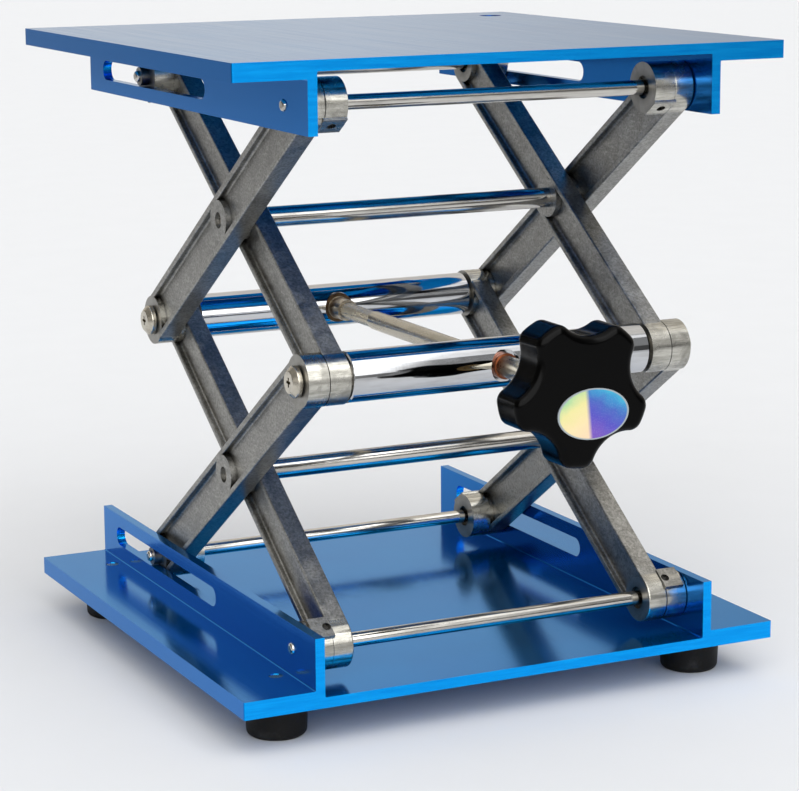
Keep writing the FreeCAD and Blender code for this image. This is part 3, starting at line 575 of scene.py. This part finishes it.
def make_floor():
    """A pale floor that fills every view, with painted shade far to the left and to the front right, where
    the studio is unlit.
    """
    half = FLOOR_HALF
    mesh = bpy.data.meshes.new("floor")
    square = [(-half, -half, 0), (half, -half, 0), (half, half, 0), (-half, half, 0)]
    mesh.from_pydata(square, [], [(0, 1, 2, 3)])
    g = Finish("pale_floor")
    place = g.place()
    parts = g.split(place)
    pale = g.blend(g.noise(place, 30.0, 2.0, 0.5), FLOOR_PALE, FLOOR_PALER)
    far_left_shade = g.ramp(parts["X"], *FLOOR_FAR_LEFT, kind="SMOOTHSTEP")
    slanted = g.math("ADD", parts["X"], g.math("MULTIPLY", parts["Y"], 0.5))
    front_right_shade = g.math("MULTIPLY", g.ramp(slanted, *FLOOR_SLANT), g.ramp(parts["Y"], *FLOOR_FRONT))
    # painted shade: the floor darkens far to the left and to the front right
    g.surface(base_color=g.blend(g.math("MAXIMUM", far_left_shade, front_right_shade), pale, FLOOR_PAINTED_SHADE))
    g.surface(roughness=0.7, specular_ior_level=0.1)
    mesh.materials.append(g.material)
    floor = bpy.data.objects.new("floor", mesh)
    bpy.context.scene.collection.objects.link(floor)


SUN_PLACE = (0.2, -0.7, 1.6)
SUN_STRENGTH = 0.5
SUN_SPREAD = math.radians(50.0)


def add_sun(name, place, strength, spread):
    """A soft sun at this place, shining on the origin."""
    light = bpy.data.lights.new(name, "SUN")
    light.energy = strength
    light.angle = spread
    sun = bpy.data.objects.new(name, light)
    sun.location = place
    sun.rotation_euler = (-Vector(place)).to_track_quat("-Z", "Y").to_euler()
    bpy.context.scene.collection.objects.link(sun)


# brightness of each part of the studio
BACKDROP = 0.78
BACKDROP_RIGHT = 0.50
LEFT_WALL = 0.15
FRONT_LIGHT = 3.0
FRONT_RIGHT = 0.30
FRONT_GAP = 0.08
FRONT_SPILL = 0.9
ZENITH = 1.0
WARM_WHITE = (1.0, 0.955, 0.885)

# where each part begins and ends, as components of the direction seen from the object;
# the front's and the left's bounds are taken on its level part
FRONT_BOUNDS = (-0.15, -0.6)
LEFT_BOUNDS = (-0.28, -0.55)
LIGHT_EDGE = (0.410, 0.424)
LIGHT_EDGE_LEAN = 0.022
SPILL_EDGE = (0.38, 0.43)
GAP_TOP = (0.16, 0.20)
GAP_RISE = 1.3
RIGHT_START = 0.42
RIGHT_END = 0.60
LIGHT_TOP = (0.82, 0.95)
WALL_TOP = (0.5, 0.95)


def make_world():
    """A pale backdrop behind, a dim left, and a wide front light over a dark gap that widens rightward."""
    world = bpy.data.worlds.new("studio")
    world.use_nodes = True
    g = Graph(world.node_tree)
    way = g.split(g.node("ShaderNodeTexCoord").outputs["Generated"])
    side, depth, height = way["X"], way["Y"], way["Z"]
    level = g.math("MAXIMUM", g.hypot(side, depth), 0.001)
    frontness = g.ramp(g.math("DIVIDE", depth, level), *FRONT_BOUNDS, kind="SMOOTHSTEP")
    leftness = g.ramp(g.math("DIVIDE", side, level), *LEFT_BOUNDS, kind="SMOOTHSTEP")

    slanted = g.math("SUBTRACT", side, g.math("MULTIPLY", height, LIGHT_EDGE_LEAN))
    light = g.mix(g.ramp(slanted, *LIGHT_EDGE), FRONT_LIGHT, FRONT_RIGHT)
    gap = g.mix(g.ramp(side, *SPILL_EDGE), FRONT_SPILL, FRONT_GAP)
    rightness = g.math("MAXIMUM", g.math("SUBTRACT", side, RIGHT_START), 0.0)
    over_gap = g.math("SUBTRACT", height, g.math("MULTIPLY", rightness, GAP_RISE))
    front = g.mix(g.ramp(over_gap, *GAP_TOP, kind="SMOOTHSTEP"), gap, light)
    front = g.mix(g.ramp(height, *LIGHT_TOP, kind="SMOOTHSTEP"), front, ZENITH)

    behind = g.ramp(side, RIGHT_START, RIGHT_END, BACKDROP, BACKDROP_RIGHT)
    around = g.mix(leftness, behind, LEFT_WALL)
    around = g.mix(g.ramp(height, *WALL_TOP), around, ZENITH)
    background = world.node_tree.nodes["Background"]
    g.feed(background.inputs["Color"], g.blend(frontness, WARM_WHITE, grey(1.0)))
    g.feed(background.inputs["Strength"], g.mix(frontness, around, front))
    bpy.context.scene.world = world


make_floor()
make_world()
add_sun("soft_sun", SUN_PLACE, SUN_STRENGTH, SUN_SPREAD)
bpy.context.scene.view_settings.view_transform = "Standard"
